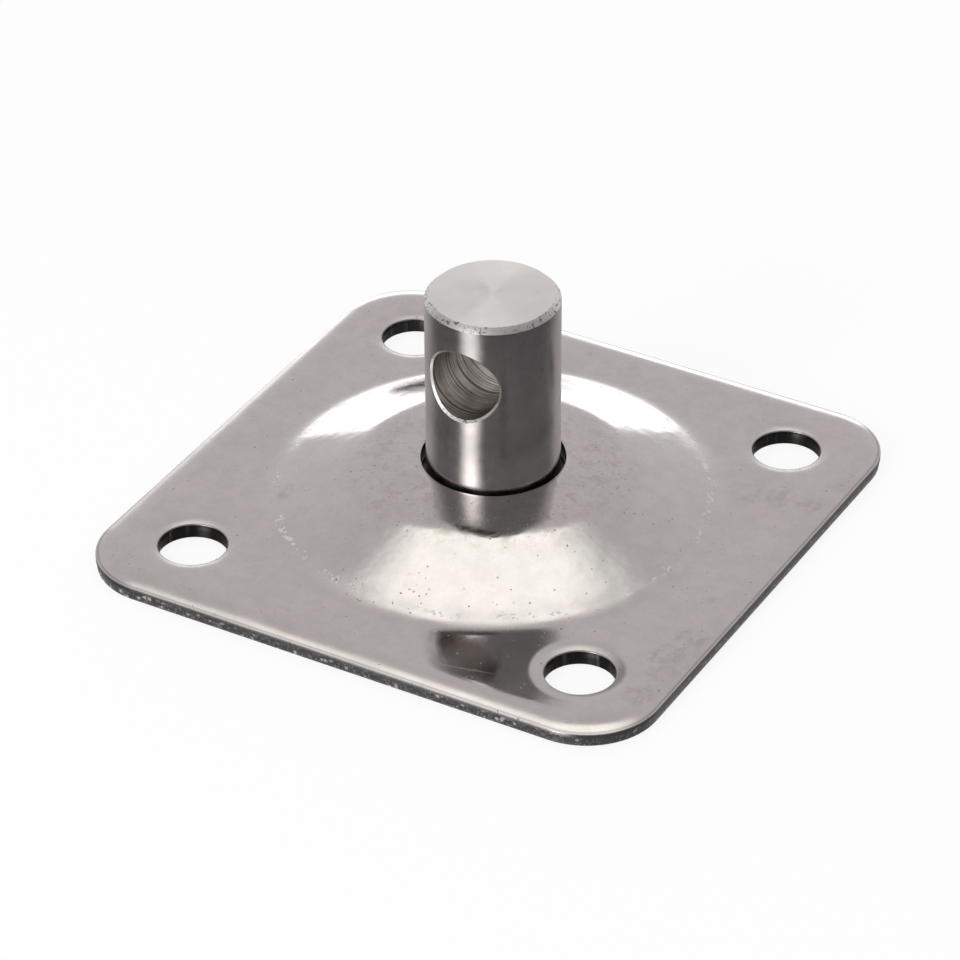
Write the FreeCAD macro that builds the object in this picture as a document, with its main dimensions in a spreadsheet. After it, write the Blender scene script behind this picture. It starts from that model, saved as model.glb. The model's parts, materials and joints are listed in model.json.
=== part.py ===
import FreeCAD, Part
import math
import os
import Sketcher

# Swivel base: a pressed square plate with a domed middle, and a turned post that is
# trapped under the dome by its head and turns freely about the upright axis.
# The frame stands on the deck: Z = 0 is the underside of the plate, the Z axis is the
# swivel axis, X and Y run along the plate's sides. Lengths are in millimetres.

DRIVING_SIZES = {
    # Plate
    "plate_side": 50.0,
    "sheet_thickness": 1.5,
    "corner_radius": 6.2,
    "edge_roll": 0.35,
    # Fixing holes
    "fixing_pitch": 35.3,
    "fixing_diameter": 5.6,
    "fixing_lip": 0.25,
    # Dome, whose height is that of its unpierced crown above the deck. The crown is nearly
    # flat out to its reach, then come a rounded shoulder, a straight flank and a fillet
    "dome_height": 5.6,
    "crown_radius": 75.0,
    "crown_reach": 9.5,
    "shoulder_radius": 7.0,
    "flank_angle": 22.5,
    "foot_fillet": 5.0,
    "rim_break": 0.12,
    # Post, above the deck
    "post_diameter": 10.9,
    "post_height": 20.7,
    "post_chamfer": 0.45,
    "post_clearance": 0.4,
    # Cross hole for the clevis pin
    "pin_hole_diameter": 6.1,
    "pin_hole_drop": 5.8,
    "pin_hole_chamfer": 0.2,
    # Head under the dome
    "head_diameter": 17.0,
    "head_clearance": 0.25,
    "head_lift": 0.3,
    "head_chamfer": 0.3,
    "neck_chamfer": 0.3,
}

FIXING_COUNT = 4
TOLERANCE = 1e-4

# A sketch counts the points of a piece of its geometry upwards from one
START, END, CENTRE = range(1, 4)
# and its own axes downwards from minus one, with the origin at the start of the first
HORIZONTAL_AXIS, VERTICAL_AXIS = range(-1, -3, -1)
ORIGIN = (HORIZONTAL_AXIS, START)

document = FreeCAD.newDocument("swivel_base")


def make_size_sheet(sizes):
    """Put the driving sizes in a sheet, one named cell each."""
    sheet = document.addObject("Spreadsheet::Sheet", "sizes")
    for row, (name, value) in enumerate(sizes.items(), start=1):
        sheet.set("A%d" % row, name)
        sheet.set("B%d" % row, str(value))
        sheet.setAlias("B%d" % row, name)
    document.recompute()
    return sheet


def size(name):
    """Read one driving size, for a sketch's first shape before its constraints take over."""
    return float(sheet.get(name))


def bind(feature, target, formula):
    """Tie a property or a sketch's named constraint to the sheet, by a formula with $ for a size."""
    feature.setExpression(target, formula.replace("$", "sizes."))


def make_body(label):
    body = document.addObject("PartDesign::Body", label)
    body.Label = label
    body.Placement = FreeCAD.Placement()
    return body


def origin_plane(body, role):
    for feature in body.Origin.OriginFeatures:
        if feature.Role == role:
            return feature
    raise ValueError("no origin plane " + role)


def make_sketch(body, name, role):
    """Start a sketch on one of the body's own origin planes."""
    sketch = body.newObject("Sketcher::SketchObject", name)
    sketch.AttachmentSupport = [(origin_plane(body, role), "")]
    sketch.MapMode = "FlatFace"
    return sketch


def constrain(sketch, kind, *references):
    return sketch.addConstraint(Sketcher.Constraint(kind, *references))


def dimension(sketch, kind, references, value, name, formula):
    """Add a dimension with a name and tie it to the sheet."""
    index = sketch.addConstraint(Sketcher.Constraint(kind, *references, value))
    sketch.renameConstraint(index, name)
    bind(sketch, "Constraints." + name, formula)


def line(sketch, start, end):
    first = FreeCAD.Vector(start[0], start[1], 0)
    last = FreeCAD.Vector(end[0], end[1], 0)
    return sketch.addGeometry(Part.LineSegment(first, last), False)


def arc(sketch, centre, radius, start_angle, end_angle):
    middle = FreeCAD.Vector(centre[0], centre[1], 0)
    circle = Part.Circle(middle, FreeCAD.Vector(0, 0, 1), radius)
    return sketch.addGeometry(Part.ArcOfCircle(circle, start_angle, end_angle), False)


def circle(sketch, centre, radius):
    middle = FreeCAD.Vector(centre[0], centre[1], 0)
    return sketch.addGeometry(Part.Circle(middle, FreeCAD.Vector(0, 0, 1), radius), False)


def edge_names(feature, wanted):
    """Name the edges of a feature's solid that a test picks out."""
    edges = feature.Shape.Edges
    return ["Edge%d" % number for number, edge in enumerate(edges, start=1) if wanted(edge)]


def dress(body, kind, name, base, wanted, target, formula):
    """Fillet or chamfer the edges of the body so far that a test picks out."""
    document.recompute()
    feature = body.newObject("PartDesign::" + kind, name)
    feature.Base = (base, edge_names(base, wanted))
    bind(feature, target, formula)
    document.recompute()
    return feature


def cut_away(before, after):
    """Say how much a feature took off the solid."""
    return before.Shape.Volume - after.Shape.Volume


# Formulas that several features share
RIM_RADIUS = "$post_diameter / 2 + $post_clearance"
CROWN_DEPTH = "$crown_radius - $dome_height"
# How far the outer skin falls over the shoulder, the flank and the fillet, and where it ends
CROWN_RISE = "sqrt($crown_radius ^ 2 - $crown_reach ^ 2)"
SHOULDER_FALL = "$shoulder_radius * (%s / $crown_radius - cos($flank_angle))" % CROWN_RISE
FILLET_FALL = "$foot_fillet * (1 - cos($flank_angle))"
FLANK_FALL = "(%s - (%s) - %s - %s - $sheet_thickness)" % (
    CROWN_RISE, CROWN_DEPTH, SHOULDER_FALL, FILLET_FALL)
SHOULDER_SPAN = "$shoulder_radius * (sin($flank_angle) - $crown_reach / $crown_radius)"
FILLET_SPAN = "$foot_fillet * sin($flank_angle)"
FOOT_RADIUS = "$crown_reach + %s + %s / tan($flank_angle) + %s" % (SHOULDER_SPAN, FLANK_FALL, FILLET_SPAN)


def draw_plate_outline(sketch):
    """Draw a rounded square about the origin, with a round opening that the dome fills."""
    half = size("plate_side") / 2
    corner = size("corner_radius")
    straight = half - corner
    sides = []
    corners = []
    for quarter in range(4):
        turn = quarter * math.pi / 2
        across = (math.cos(turn), math.sin(turn))
        along = (-math.sin(turn), math.cos(turn))
        start = [half * across[i] - straight * along[i] for i in range(2)]
        end = [half * across[i] + straight * along[i] for i in range(2)]
        middle = [straight * (across[i] + along[i]) for i in range(2)]
        sides.append(line(sketch, start, end))
        corners.append(arc(sketch, middle, corner, turn, turn + math.pi / 2))
    for quarter in range(4):
        following = (quarter + 1) % 4
        constrain(sketch, "Tangent", sides[quarter], END, corners[quarter], START)
        constrain(sketch, "Tangent", corners[quarter], END, sides[following], START)
        constrain(sketch, "Vertical" if quarter % 2 == 0 else "Horizontal", sides[quarter])
    for quarter in range(1, 4):
        constrain(sketch, "Equal", corners[0], corners[quarter])
    right, top, left, bottom = sides
    dimension(sketch, "Radius", (corners[0],), corner, "corner", "$corner_radius")
    dimension(sketch, "DistanceX", (left, START, right, END), 2 * half, "width", "$plate_side")
    dimension(sketch, "DistanceY", (bottom, START, top, END), 2 * half, "depth", "$plate_side")
    dimension(sketch, "DistanceX", (*ORIGIN, right, END), half, "half_width", "$plate_side / 2")
    dimension(sketch, "DistanceY", (*ORIGIN, top, END), half, "half_depth", "$plate_side / 2")
    foot_radius = dome_centres()[2][0]
    foot = circle(sketch, (0, 0), foot_radius)
    constrain(sketch, "Coincident", foot, CENTRE, *ORIGIN)
    dimension(sketch, "Radius", (foot,), foot_radius, "foot", FOOT_RADIUS)


def crown_lean():
    """Work out how steep the crown has become where the shoulder takes over."""
    return math.asin(size("crown_reach") / size("crown_radius"))


def dome_centres():
    """Work out the centres of the crown, the shoulder and the fillet, which both skins share."""
    lean = crown_lean()
    angle = math.radians(size("flank_angle"))
    crown = (0, size("dome_height") - size("crown_radius"))
    span = size("crown_radius") - size("shoulder_radius")
    shoulder = (span * math.sin(lean), crown[1] + span * math.cos(lean))
    radii = size("shoulder_radius") + size("foot_fillet")
    fillet_height = size("sheet_thickness") + size("foot_fillet")
    fall = shoulder[1] - fillet_height + radii * math.cos(angle)
    foot_radius = shoulder[0] + radii * math.sin(angle) + fall / math.tan(angle)
    return crown, shoulder, (foot_radius, fillet_height)


def draw_dome_skin(sketch, depth):
    """Draw one skin of the dome, at a depth in the sheet: crown, shoulder, flank and fillet."""
    crown_centre, shoulder_centre, fillet_centre = dome_centres()
    lean = crown_lean()
    angle = math.radians(size("flank_angle"))
    crown_radius = size("crown_radius") - depth
    shoulder_radius = size("shoulder_radius") - depth
    fillet_radius = size("foot_fillet") + depth
    rim = size("post_diameter") / 2 + size("post_clearance")
    slope = (math.sin(angle), math.cos(angle))
    flank_top = [shoulder_centre[i] + shoulder_radius * slope[i] for i in range(2)]
    flank_foot = [fillet_centre[i] - fillet_radius * slope[i] for i in range(2)]

    crown = arc(sketch, crown_centre, crown_radius, math.pi / 2 - lean, math.acos(rim / crown_radius))
    shoulder = arc(sketch, shoulder_centre, shoulder_radius, math.pi / 2 - angle, math.pi / 2 - lean)
    flank = line(sketch, flank_top, flank_foot)
    fillet = arc(sketch, fillet_centre, fillet_radius, 1.5 * math.pi - angle, 1.5 * math.pi)
    constrain(sketch, "Tangent", crown, START, shoulder, END)
    constrain(sketch, "Tangent", shoulder, START, flank, START)
    constrain(sketch, "Tangent", flank, END, fillet, START)
    return crown, shoulder, flank, fillet


def draw_dome_section(sketch):
    """Draw the pressed sheet from the rim of the central hole to the dome's foot.

    Both skins share the centres of their arcs and the slope of their flank, so the sheet
    keeps its thickness.
    """
    thickness = size("sheet_thickness")
    crown_centre, shoulder_centre, fillet_centre = dome_centres()
    foot_radius = fillet_centre[0]
    rim = size("post_diameter") / 2 + size("post_clearance")

    top_crown, top_shoulder, top_flank, top_fillet = draw_dome_skin(sketch, 0)
    under_crown, under_shoulder, under_flank, under_fillet = draw_dome_skin(sketch, thickness)
    top_rim, under_rim = [
        (rim, crown_centre[1] + math.sqrt((size("crown_radius") - depth) ** 2 - rim ** 2))
        for depth in (0, thickness)
    ]
    foot_wall = line(sketch, (foot_radius, thickness), (foot_radius, 0))
    rim_wall = line(sketch, under_rim, top_rim)

    constrain(sketch, "Coincident", top_fillet, END, foot_wall, START)
    constrain(sketch, "Coincident", foot_wall, END, under_fillet, END)
    constrain(sketch, "Coincident", under_crown, END, rim_wall, START)
    constrain(sketch, "Coincident", rim_wall, END, top_crown, END)
    constrain(sketch, "Coincident", top_crown, CENTRE, under_crown, CENTRE)
    constrain(sketch, "Coincident", top_shoulder, CENTRE, under_shoulder, CENTRE)
    constrain(sketch, "Coincident", top_fillet, CENTRE, under_fillet, CENTRE)
    constrain(sketch, "Parallel", top_flank, under_flank)
    constrain(sketch, "PointOnObject", top_crown, CENTRE, VERTICAL_AXIS)
    constrain(sketch, "PointOnObject", foot_wall, END, HORIZONTAL_AXIS)
    constrain(sketch, "Vertical", foot_wall)
    constrain(sketch, "Vertical", rim_wall)
    constrain(sketch, "Vertical", top_fillet, CENTRE, top_fillet, END)
    dimension(sketch, "Radius", (top_crown,), size("crown_radius"), "crown", "$crown_radius")
    dimension(sketch, "Radius", (top_shoulder,), size("shoulder_radius"), "shoulder", "$shoulder_radius")
    dimension(sketch, "Radius", (top_fillet,), size("foot_fillet"), "fillet", "$foot_fillet")
    dimension(sketch, "DistanceY", (top_crown, CENTRE, *ORIGIN), -crown_centre[1],
              "crown_depth", CROWN_DEPTH)
    dimension(sketch, "DistanceX", (*ORIGIN, top_crown, START), size("crown_reach"),
              "crown_reach", "$crown_reach")
    dimension(sketch, "DistanceX", (top_fillet, START, top_fillet, CENTRE),
              size("foot_fillet") * math.sin(math.radians(size("flank_angle"))), "fillet_span", FILLET_SPAN)
    dimension(sketch, "DistanceY", (foot_wall, END, foot_wall, START), thickness,
              "thickness", "$sheet_thickness")
    dimension(sketch, "DistanceX", (*ORIGIN, rim_wall, START), rim, "rim", RIM_RADIUS)


def make_base_plate():
    """Make the plate: blanked square, pressed dome, pierced middle and four fixing holes."""
    body = make_body("base_plate")

    outline = make_sketch(body, "plate_outline", "XY_Plane")
    draw_plate_outline(outline)
    sheet_pad = body.newObject("PartDesign::Pad", "sheet_pad")
    sheet_pad.Profile = outline
    bind(sheet_pad, "Length", "$sheet_thickness")

    section = make_sketch(body, "dome_section", "XZ_Plane")
    draw_dome_section(section)
    dome = body.newObject("PartDesign::Revolution", "dome")
    dome.Profile = section
    dome.ReferenceAxis = (section, ["V_Axis"])
    dome.Angle = 360

    hole_sketch = make_sketch(body, "fixing_hole_outline", "XY_Plane")
    half_pitch = size("fixing_pitch") / 2
    hole = circle(hole_sketch, (half_pitch, half_pitch), size("fixing_diameter") / 2)
    dimension(hole_sketch, "Diameter", (hole,), size("fixing_diameter"), "bore", "$fixing_diameter")
    dimension(hole_sketch, "DistanceX", (*ORIGIN, hole, CENTRE), half_pitch, "across", "$fixing_pitch / 2")
    dimension(hole_sketch, "DistanceY", (*ORIGIN, hole, CENTRE), half_pitch, "along", "$fixing_pitch / 2")
    document.recompute()
    fixing_hole = body.newObject("PartDesign::Pocket", "fixing_hole")
    fixing_hole.Profile = hole_sketch
    bind(fixing_hole, "Length", "$sheet_thickness")
    fixing_hole.Reversed = True
    document.recompute()
    if cut_away(dome, fixing_hole) < TOLERANCE:
        raise ValueError("the fixing hole cuts nothing")

    fixing_holes = body.newObject("PartDesign::PolarPattern", "fixing_holes")
    fixing_holes.Originals = [fixing_hole]
    fixing_holes.Axis = (hole_sketch, ["N_Axis"])
    fixing_holes.Angle = 360
    fixing_holes.Occurrences = FIXING_COUNT
    body.Tip = fixing_holes
    document.recompute()

    # The punch pulls the top edges down: softly round the outline, and at each hole's lip
    face_height = size("sheet_thickness")
    half_side = size("plate_side") / 2
    hole_distance = math.hypot(half_pitch, half_pitch)

    def lies_on_face(edge):
        return abs(edge.BoundBox.ZMin - face_height) < TOLERANCE and edge.BoundBox.ZLength < TOLERANCE

    def is_fixing_lip(edge):
        if not lies_on_face(edge) or not isinstance(edge.Curve, Part.Circle):
            return False
        centre = edge.Curve.Center
        on_pattern = abs(math.hypot(centre.x, centre.y) - hole_distance) < TOLERANCE
        return on_pattern and abs(edge.Curve.Radius - size("fixing_diameter") / 2) < TOLERANCE

    def is_outline(edge):
        if not lies_on_face(edge) or is_fixing_lip(edge):
            return False
        reach = max(abs(edge.CenterOfMass.x), abs(edge.CenterOfMass.y))
        return reach > half_side - size("corner_radius")

    def is_rim(edge):
        if not isinstance(edge.Curve, Part.Circle):
            return False
        rim = size("post_diameter") / 2 + size("post_clearance")
        on_top = edge.BoundBox.ZMin > size("dome_height") - size("sheet_thickness") / 2
        return on_top and abs(edge.Curve.Radius - rim) < TOLERANCE

    lips = dress(body, "Chamfer", "fixing_lips", fixing_holes, is_fixing_lip, "Size", "$fixing_lip")
    rolled = dress(body, "Fillet", "rolled_edge", lips, is_outline, "Radius", "$edge_roll")
    dress(body, "Chamfer", "rim_edge", rolled, is_rim, "Size", "$rim_break")
    return body


def draw_post_section(sketch):
    """Draw half of the turned piece: a head that follows the underside of the dome, and a shaft."""
    shaft = size("post_diameter") / 2
    head = size("head_diameter") / 2
    top = size("post_height")
    bottom = size("head_lift")
    seat = size("crown_radius") - size("sheet_thickness") - size("head_clearance")
    seat_centre = (0, size("dome_height") - size("crown_radius"))
    neck = (shaft, seat_centre[1] + math.sqrt(seat ** 2 - shaft ** 2))
    shoulder = (head, seat_centre[1] + math.sqrt(seat ** 2 - head ** 2))

    axis_line = line(sketch, (0, top), (0, bottom))
    under_head = line(sketch, (0, bottom), (head, bottom))
    head_wall = line(sketch, (head, bottom), shoulder)
    seat_arc = arc(sketch, seat_centre, seat, math.acos(head / seat), math.acos(shaft / seat))
    shaft_wall = line(sketch, neck, (shaft, top))
    top_face = line(sketch, (shaft, top), (0, top))

    constrain(sketch, "Coincident", axis_line, END, under_head, START)
    constrain(sketch, "Coincident", under_head, END, head_wall, START)
    constrain(sketch, "Coincident", head_wall, END, seat_arc, START)
    constrain(sketch, "Coincident", seat_arc, END, shaft_wall, START)
    constrain(sketch, "Coincident", shaft_wall, END, top_face, START)
    constrain(sketch, "Coincident", top_face, END, axis_line, START)
    constrain(sketch, "PointOnObject", axis_line, START, VERTICAL_AXIS)
    constrain(sketch, "PointOnObject", axis_line, END, VERTICAL_AXIS)
    constrain(sketch, "PointOnObject", seat_arc, CENTRE, VERTICAL_AXIS)
    constrain(sketch, "Horizontal", under_head)
    constrain(sketch, "Horizontal", top_face)
    constrain(sketch, "Vertical", head_wall)
    constrain(sketch, "Vertical", shaft_wall)
    dimension(sketch, "DistanceY", (*ORIGIN, axis_line, START), top, "top", "$post_height")
    dimension(sketch, "DistanceY", (*ORIGIN, axis_line, END), bottom, "lift", "$head_lift")
    dimension(sketch, "DistanceX", (*ORIGIN, head_wall, START), head, "head", "$head_diameter / 2")
    dimension(sketch, "DistanceX", (*ORIGIN, shaft_wall, END), shaft, "shaft", "$post_diameter / 2")
    dimension(sketch, "Radius", (seat_arc,), seat, "seat",
              "$crown_radius - $sheet_thickness - $head_clearance")
    dimension(sketch, "DistanceY", (seat_arc, CENTRE, *ORIGIN), -seat_centre[1], "seat_depth", CROWN_DEPTH)


def make_swivel_post():
    """Make the post: turned from bar with its head, then cross-drilled for a clevis pin."""
    body = make_body("swivel_post")
    section = make_sketch(body, "post_section", "XZ_Plane")
    draw_post_section(section)
    turned = body.newObject("PartDesign::Revolution", "turned_blank")
    turned.Profile = section
    turned.ReferenceAxis = (section, ["V_Axis"])
    turned.Angle = 360

    hole_sketch = make_sketch(body, "pin_hole_outline", "XZ_Plane")
    hole_height = size("post_height") - size("pin_hole_drop")
    hole = circle(hole_sketch, (0, hole_height), size("pin_hole_diameter") / 2)
    constrain(hole_sketch, "PointOnObject", hole, CENTRE, VERTICAL_AXIS)
    dimension(hole_sketch, "Diameter", (hole,), size("pin_hole_diameter"), "bore", "$pin_hole_diameter")
    dimension(hole_sketch, "DistanceY", (*ORIGIN, hole, CENTRE), hole_height, "height",
              "$post_height - $pin_hole_drop")
    document.recompute()
    pin_hole = body.newObject("PartDesign::Pocket", "pin_hole")
    pin_hole.Profile = hole_sketch
    pin_hole.Midplane = True
    bind(pin_hole, "Length", "$post_diameter + 2 * $pin_hole_chamfer")
    document.recompute()
    if cut_away(turned, pin_hole) < TOLERANCE:
        raise ValueError("the pin hole cuts nothing")

    shaft_radius = size("post_diameter") / 2

    def is_circle_of(edge, radius):
        return isinstance(edge.Curve, Part.Circle) and abs(edge.Curve.Radius - radius) < TOLERANCE

    def is_pin_hole_mouth(edge):
        if isinstance(edge.Curve, (Part.Circle, Part.Line)):
            return False
        near = abs(edge.BoundBox.ZMin + edge.BoundBox.ZLength / 2 - hole_height)
        return near < size("pin_hole_diameter") / 2 and edge.BoundBox.ZMin > size("dome_height")

    def is_top_edge(edge):
        return is_circle_of(edge, shaft_radius) and abs(edge.BoundBox.ZMin - size("post_height")) < TOLERANCE

    def is_neck(edge):
        return is_circle_of(edge, shaft_radius) and edge.BoundBox.ZMax < size("dome_height")

    def is_head_edge(edge):
        return is_circle_of(edge, size("head_diameter") / 2)

    mouths = dress(body, "Chamfer", "pin_hole_mouths", pin_hole, is_pin_hole_mouth, "Size", "$pin_hole_chamfer")
    top_edge = dress(body, "Chamfer", "top_edge", mouths, is_top_edge, "Size", "$post_chamfer")
    head_edges = dress(body, "Chamfer", "head_edges", top_edge, is_head_edge, "Size", "$head_chamfer")
    dress(body, "Chamfer", "neck", head_edges, is_neck, "Size", "$neck_chamfer")
    return body


def check_document():
    """Stop if any object of the document failed to build."""
    for item in document.Objects:
        if "Invalid" in item.State or "Error" in item.State:
            raise ValueError("failed to build: " + item.Label)


def write_part(body):
    """Write one sub-part to a file that has its name."""
    shape = body.Shape
    if shape.isNull() or not shape.isValid():
        raise ValueError("bad shape: " + body.Label)
    shape.exportStep("parts/%s.step" % body.Label)
    print("%s: %d solid, %.2f mm3" % (body.Label, len(shape.Solids), shape.Volume))


sheet = make_size_sheet(DRIVING_SIZES)
sub_parts = [make_base_plate(), make_swivel_post()]
document.recompute()
check_document()
os.makedirs("parts", exist_ok=True)
for sub_part in sub_parts:
    write_part(sub_part)
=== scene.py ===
import json
import math

import bpy
from mathutils import Matrix, Vector
from mathutils.geometry import delaunay_2d_cdt


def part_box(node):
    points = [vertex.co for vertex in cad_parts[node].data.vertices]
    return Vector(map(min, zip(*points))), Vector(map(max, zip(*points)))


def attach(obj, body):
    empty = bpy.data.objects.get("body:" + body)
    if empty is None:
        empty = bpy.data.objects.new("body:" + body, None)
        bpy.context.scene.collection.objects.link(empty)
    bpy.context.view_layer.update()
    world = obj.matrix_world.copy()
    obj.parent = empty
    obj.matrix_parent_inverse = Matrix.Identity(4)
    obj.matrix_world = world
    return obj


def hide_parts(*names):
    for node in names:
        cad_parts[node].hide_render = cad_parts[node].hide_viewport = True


# Swivel base: a pressed stainless plate with a domed middle, and a turned post that is
# trapped under the dome. Shapes are worked out in millimetres about the frame's origin,
# with Z as the swivel axis, and scaled to metres when each mesh is made.

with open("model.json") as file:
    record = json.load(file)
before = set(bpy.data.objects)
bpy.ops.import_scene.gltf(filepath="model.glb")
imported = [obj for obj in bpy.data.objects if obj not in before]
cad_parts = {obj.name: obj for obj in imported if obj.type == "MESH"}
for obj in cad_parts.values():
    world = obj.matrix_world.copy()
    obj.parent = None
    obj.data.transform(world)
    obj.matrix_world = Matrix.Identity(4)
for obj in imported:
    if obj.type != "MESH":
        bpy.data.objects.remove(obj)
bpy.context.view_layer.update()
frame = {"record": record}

METRE = 0.001
PER_METRE = 1000.0
mounts = {mount["name"]: mount for mount in frame["record"]["mounts"]}

# Plate, from the frame where it says
PLATE_LOW, PLATE_HIGH = (corner * PER_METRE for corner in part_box("base_plate"))
HALF_SIDE = PLATE_HIGH.x
FIXING = mounts["fixing_holes"]
SHEET = FIXING["pos_m"][2] * PER_METRE
HALF_PITCH = FIXING["dims"]["spacing_x_mm"] / 2
FIXING_RADIUS = FIXING["dims"]["hole_r_mm"]
CORNER_RADIUS = 6.2
DOME_HEIGHT = 5.6
CROWN_RADIUS = 75.0
CROWN_REACH = 9.5
SHOULDER_RADIUS = 7.0
FLANK_ANGLE = math.radians(22.5)
FOOT_FILLET = 5.0

# Post, from the frame where it says
POST_LOW, POST_HIGH = (corner * PER_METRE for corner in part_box("swivel_post"))
POST_TOP = POST_HIGH.z
HEAD_LIFT = POST_LOW.z
HEAD_RADIUS = POST_HIGH.x
PIN = mounts["pin_hole"]
BORE_RADIUS = PIN["dims"]["r_mm"]
BORE_HEIGHT = PIN["pos_m"][2] * PER_METRE
SHAFT_RADIUS = 5.45
SHAFT_CLEARANCE = 0.4
HEAD_CLEARANCE = 0.25
TOP_CHAMFER = 0.45
BORE_CHAMFER = 0.2
HEAD_ROUNDING = 0.3

# What the punch leaves: how far the top skin is drawn down at a sheared edge, how far in from
# the edge that reaches, and how the break undercuts the wall
EDGE_DROP, EDGE_REACH = 0.44, 2.3
HOLE_DROP, HOLE_REACH = 0.25, 1.6
ROLL_POWER = 2.4
BREAK_HEIGHT, BREAK_SLOPE = 0.62, 0.12
EDGE_BREAK, HOLE_BREAK = 0.08, 0.03

# Small roundings: a sheared lip, its lower edge, the crown's hole above and below, the top
LIP_ROUNDING, BURR_ROUNDING = 0.07, 0.04
RIM_ROUNDING, SEAT_ROUNDING = 0.12, 0.05
CHAMFER_ROUNDING = 0.04

# Worked out
RIM_RADIUS = SHAFT_RADIUS + SHAFT_CLEARANCE
CROWN_CENTRE = DOME_HEIGHT - CROWN_RADIUS
CROWN_ANGLE = math.asin(CROWN_REACH / CROWN_RADIUS)
SHOULDER_AXIS = CROWN_REACH - SHOULDER_RADIUS * math.sin(CROWN_ANGLE)
SHOULDER_HEIGHT = CROWN_CENTRE + (CROWN_RADIUS - SHOULDER_RADIUS) * math.cos(CROWN_ANGLE)
FLANK_TOP = SHOULDER_AXIS + SHOULDER_RADIUS * math.sin(FLANK_ANGLE)
FLANK_RISE = (SHOULDER_HEIGHT + (SHOULDER_RADIUS + FOOT_FILLET) * math.cos(FLANK_ANGLE)
              - SHEET - FOOT_FILLET)
FLANK_FOOT = FLANK_TOP + FLANK_RISE / math.tan(FLANK_ANGLE)
FOOT_RADIUS = FLANK_FOOT + FOOT_FILLET * math.sin(FLANK_ANGLE)

# Divisions of the meshes; a crowding above 1 draws them together towards the edge they meet
ROUNDING_STEPS = 3
STRAIGHT_STEPS, CORNER_STEPS = 14, 18
ROLL_STEPS, ROLL_CROWDING = 12, 1.5
HOLE_STEPS, DOME_STEPS = 72, 192
TOP_SKIN_STEPS, UNDER_SKIN_STEPS = (24, 20, 12), (16, 12, 8)
SEAT_STEPS, BORE_STEPS = 8, 12
PATCH_STEPS, FLANK_STEPS = 24, 20
PATCH_ROWS, PATCH_CROWDING = 9, 1.4

# How far the patch round each mouth of the cross hole reaches, and where the mouths are
PATCH_HALF_ANGLE = math.radians(50)
PATCH_HALF_HEIGHT = 4.4
MOUTHS = (0.0, math.pi)

# Below this, a length is nothing; the wall's material starts this far below a sheared lip
TOUCHING = 1e-6
LIP_BAND = 0.09

# Stands for an inner point of a section that lies on a curve
SMOOTH = None


class MeshMaker:
    """Collect faces in millimetres, join corners that coincide and keep exact normals."""

    def __init__(self):
        self.points = []
        self.numbers = {}
        self.faces = []
        self.normals = []
        self.slots = []

    def number(self, point):
        key = tuple(round(value, 4) + 0.0 for value in point)
        if key not in self.numbers:
            self.numbers[key] = len(self.points)
            self.points.append(Vector(point))
        return self.numbers[key]

    def face(self, corners, slot):
        """Add a face from (point, normal) pairs, turned so that it faces along its normals."""
        kept = []
        for point, normal in corners:
            number = self.number(point)
            if number not in [other for other, _ in kept]:
                kept.append((number, normal))
        if len(kept) < 3:
            return
        places = [self.points[number] for number, _ in kept]
        facing = Vector((0, 0, 0))
        for first, second in zip(places, places[1:] + places[:1]):
            facing += first.cross(second)
        outward = sum((Vector(normal) for _, normal in kept), Vector((0, 0, 0)))
        if facing.dot(outward) < 0:
            kept.reverse()
        self.faces.append([number for number, _ in kept])
        self.normals.extend(Vector(normal).normalized() for _, normal in kept)
        self.slots.append(slot)

    def quads(self, first_row, second_row, slot, closed=True):
        """Join two rows of (point, normal) pairs with quads."""
        count = len(first_row) if closed else len(first_row) - 1
        for here in range(count):
            there = (here + 1) % len(first_row)
            corners = (first_row[here], second_row[here], second_row[there], first_row[there])
            self.face(corners, slot)

    def sweep(self, stations, spans, slot):
        """Carry the spans of a section round a closed ring of stations."""
        for (start, start_normal), (end, end_normal) in spans:
            rows = []
            for (along, up), (out, rise) in ((start, start_normal), (end, end_normal)):
                row = []
                for origin, direction in stations:
                    point = Vector((*(origin + direction * along), up))
                    row.append((point, Vector((*(direction * out), rise))))
                rows.append(row)
            self.quads(*rows, slot)

    def build(self, name, materials):
        mesh = bpy.data.meshes.new(name)
        mesh.from_pydata([point * METRE for point in self.points], [], self.faces)
        for material in materials:
            mesh.materials.append(material)
        mesh.polygons.foreach_set("material_index", self.slots)
        mesh.polygons.foreach_set("use_smooth", [True] * len(self.faces))
        mesh.update()
        mesh.normals_split_custom_set(self.normals)
        piece = bpy.data.objects.new(name, mesh)
        bpy.context.scene.collection.objects.link(piece)
        return piece


def round_corner(before, corner, after, radius):
    """Replace a sharp corner of a section with a short tangent arc of points."""
    back = (before - corner).normalized()
    ahead = (after - corner).normalized()
    half = math.acos(max(-1, min(1, back.dot(ahead)))) / 2
    reach = radius / math.tan(half)
    centre = corner + (back + ahead).normalized() * (radius / math.sin(half))
    start = corner + back * reach - centre
    end = corner + ahead * reach - centre
    sweep = start.angle_signed(end)
    turned = [start.copy() for _ in range(ROUNDING_STEPS + 1)]
    for step, arm in enumerate(turned):
        arm.rotate(Matrix.Rotation(-sweep * step / ROUNDING_STEPS, 2))
    return [centre + arm for arm in turned]


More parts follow.
